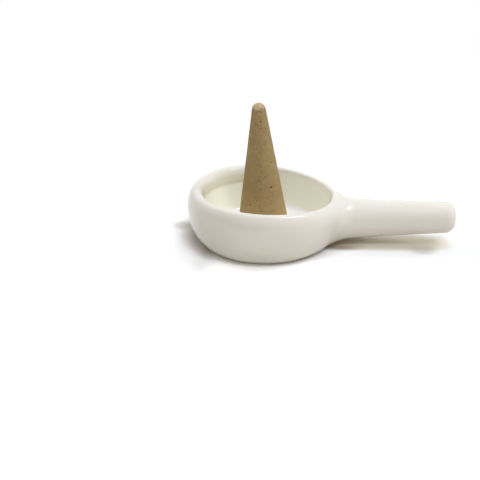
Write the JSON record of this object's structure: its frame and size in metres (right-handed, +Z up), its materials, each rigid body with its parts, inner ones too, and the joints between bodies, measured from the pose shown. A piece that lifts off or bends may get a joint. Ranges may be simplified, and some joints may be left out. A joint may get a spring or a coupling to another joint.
{
  "type": "incense holder",
  "caption": "Low round glazed ceramic dish with a short stout handle and a flat foot, holding an incense cone that lifts out.",
  "frame": {"origin": "centre of the flat round foot that the dish stands on", "axes": "+X along the handle, away from the dish; +Z up; +Y to the back when the handle points right"},
  "size_m": [0.0821, 0.0482, 0.0439],
  "materials": {
    "glazed_ceramic": "glossy warm white glaze over ceramic, unglazed on the ground of the foot",
    "pressed_incense": "dry matte pressed wood powder, tan brown with fine dark specks"
  },
  "bodies": {
    "dish": {"dish": "glazed_ceramic"},
    "cone": {"incense_cone": "pressed_incense"}
  },
  "joints": [
    {"name": "cone_lift", "type": "slide", "parent": "dish", "child": "cone", "axis": [0, 0, 1], "range_m": [0, 0.03]}
  ]
}
